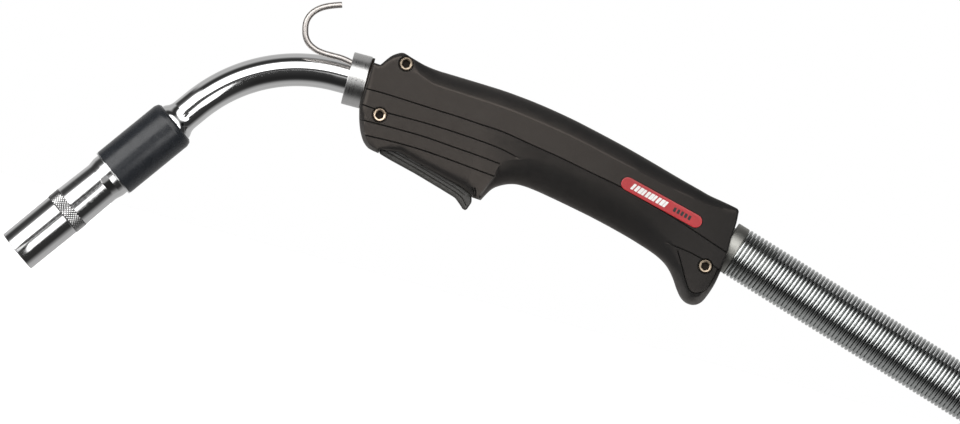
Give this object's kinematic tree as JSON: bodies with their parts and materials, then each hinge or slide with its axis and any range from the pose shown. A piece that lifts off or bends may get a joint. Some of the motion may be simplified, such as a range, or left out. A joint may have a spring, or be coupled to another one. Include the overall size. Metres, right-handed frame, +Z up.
{
  "type": "mig welding torch",
  "caption": "Hand-held gas-shielded wire welding torch: knurled nozzle, bent chrome neck, hanging hook, two-shell handle with trigger, coiled spring strain relief and a cut cable.",
  "frame": {"origin": "centre of the bounding box; Y = 0 is the parting plane of the two handle shells", "axes": "+X towards the cable along the straight rear end of the neck, +Z up with the trigger below the handle, +Y to the side away from the screw heads"},
  "size_m": [0.6054, 0.0322, 0.1694],
  "materials": {
    "chrome_plate": "mirror plated, with fine handling marks",
    "turned_aluminium": "turned, fine circular tool marks",
    "bright_steel": "drawn bright steel",
    "black_nylon": "moulded, fine texture",
    "grey_nylon": "moulded, satin",
    "insulator_black": "satin, moulded",
    "copper": "bare copper",
    "brass": "machined brass",
    "yellow_zinc_steel": "yellow zinc plate",
    "black_oxide_steel": "black oxide",
    "red_badge": "moulded, satin gloss",
    "cable_rubber": "matt rubber",
    "lead_grey": "wire insulation",
    "lead_brown": "wire insulation",
    "switch_plastic": "moulded",
    "plunger_red": "moulded",
    "pale_insulation": "moulded"
  },
  "bodies": {
    "handle": {"badge_left": "red_badge", "badge_right": "red_badge", "block_screw_front": "black_oxide_steel", "block_screw_rear": "black_oxide_steel", "cable_conductor_handle": "copper", "cable_crimp": "copper", "cable_jacket_handle": "cable_rubber", "connector_block": "brass", "contact_tip": "copper", "control_lead_a": "lead_grey", "control_lead_b": "lead_brown", "gas_diffuser": "brass", "handle_insert_front_lower": "brass", "handle_insert_front_top": "brass", "handle_insert_rear": "brass", "handle_screw_front_lower": "yellow_zinc_steel", "handle_screw_front_top": "yellow_zinc_steel", "handle_screw_rear": "yellow_zinc_steel", "handle_shell_left": "black_nylon", "handle_shell_right": "black_nylon", "neck_conductor": "copper", "neck_insulation": "pale_insulation", "neck_jacket": "chrome_plate", "nozzle_insulator": "insulator_black", "nozzle_retaining_ring": "chrome_plate", "strain_relief_ferrule": "bright_steel", "strain_relief_spring_handle": "bright_steel", "switch_housing": "switch_plastic", "switch_terminal_front": "brass", "switch_terminal_rear": "brass", "trigger_pivot_pin": "bright_steel", "wire_liner_handle": "bright_steel"},
    "nozzle": {"nozzle": "chrome_plate"},
    "trigger": {"trigger_lever": "grey_nylon", "trigger_return_spring": "bright_steel"},
    "plunger": {"switch_plunger": "plunger_red"},
    "hook_ring": {"hook_collar": "turned_aluminium", "hanger_hook": "bright_steel", "collar_set_screw": "black_oxide_steel"},
    "relief_1": {"strain_relief_spring_1": "bright_steel", "cable_jacket_1": "cable_rubber", "cable_conductor_1": "copper", "wire_liner_1": "bright_steel"},
    "relief_2": {"strain_relief_spring_2": "bright_steel", "cable_jacket_2": "cable_rubber", "cable_conductor_2": "copper", "wire_liner_2": "bright_steel"},
    "relief_3": {"strain_relief_spring_3": "bright_steel", "cable_jacket_3": "cable_rubber", "cable_conductor_3": "copper", "wire_liner_3": "bright_steel"},
    "relief_4": {"strain_relief_spring_4": "bright_steel", "cable_jacket_4": "cable_rubber", "cable_conductor_4": "copper", "wire_liner_4": "bright_steel"}
  },
  "joints": [
    {"name": "nozzle_pull", "type": "slide", "parent": "handle", "child": "nozzle", "axis": [-0.585, 0, -0.8111], "range_m": [0, 0.07]},
    {"name": "trigger_squeeze", "type": "hinge", "parent": "handle", "child": "trigger", "pos_m": [-0.12704, 0, 0.02176], "axis": [0, -1, 0], "range_deg": [0, 5], "stiffness_Nm_per_rad": 2},
    {"name": "plunger_press", "type": "slide", "parent": "handle", "child": "plunger", "axis": [0, 0, 1], "range_m": [0, 0.003]},
    {"name": "hook_swivel", "type": "hinge", "parent": "handle", "child": "hook_ring", "pos_m": [-0.15174, 0, 0.04856], "axis": [1, 0, 0], "continuous": true},
    {"name": "relief_bend_1", "type": "hinge", "parent": "handle", "child": "relief_1", "pos_m": [0.0781, 0, 0.00756], "axis": [0, 1, 0], "range_deg": [-8, 8], "stiffness_Nm_per_rad": 15},
    {"name": "relief_bend_2", "type": "hinge", "parent": "relief_1", "child": "relief_2", "pos_m": [0.11637, 0, -0.00406], "axis": [0, 1, 0], "range_deg": [-8, 8], "stiffness_Nm_per_rad": 15},
    {"name": "relief_bend_3", "type": "hinge", "parent": "relief_2", "child": "relief_3", "pos_m": [0.15464, 0, -0.01569], "axis": [0, 1, 0], "range_deg": [-8, 8], "stiffness_Nm_per_rad": 15},
    {"name": "relief_bend_4", "type": "hinge", "parent": "relief_3", "child": "relief_4", "pos_m": [0.19291, 0, -0.02732], "axis": [0, 1, 0], "range_deg": [-8, 8], "stiffness_Nm_per_rad": 15}
  ],
  "couplings": [
    {"joint": "plunger_press", "follows": "trigger_squeeze", "m_per_rad": 0.03},
    {"joint": "relief_bend_2", "follows": "relief_bend_1", "ratio": 1},
    {"joint": "relief_bend_3", "follows": "relief_bend_1", "ratio": 1},
    {"joint": "relief_bend_4", "follows": "relief_bend_1", "ratio": 1}
  ]
}
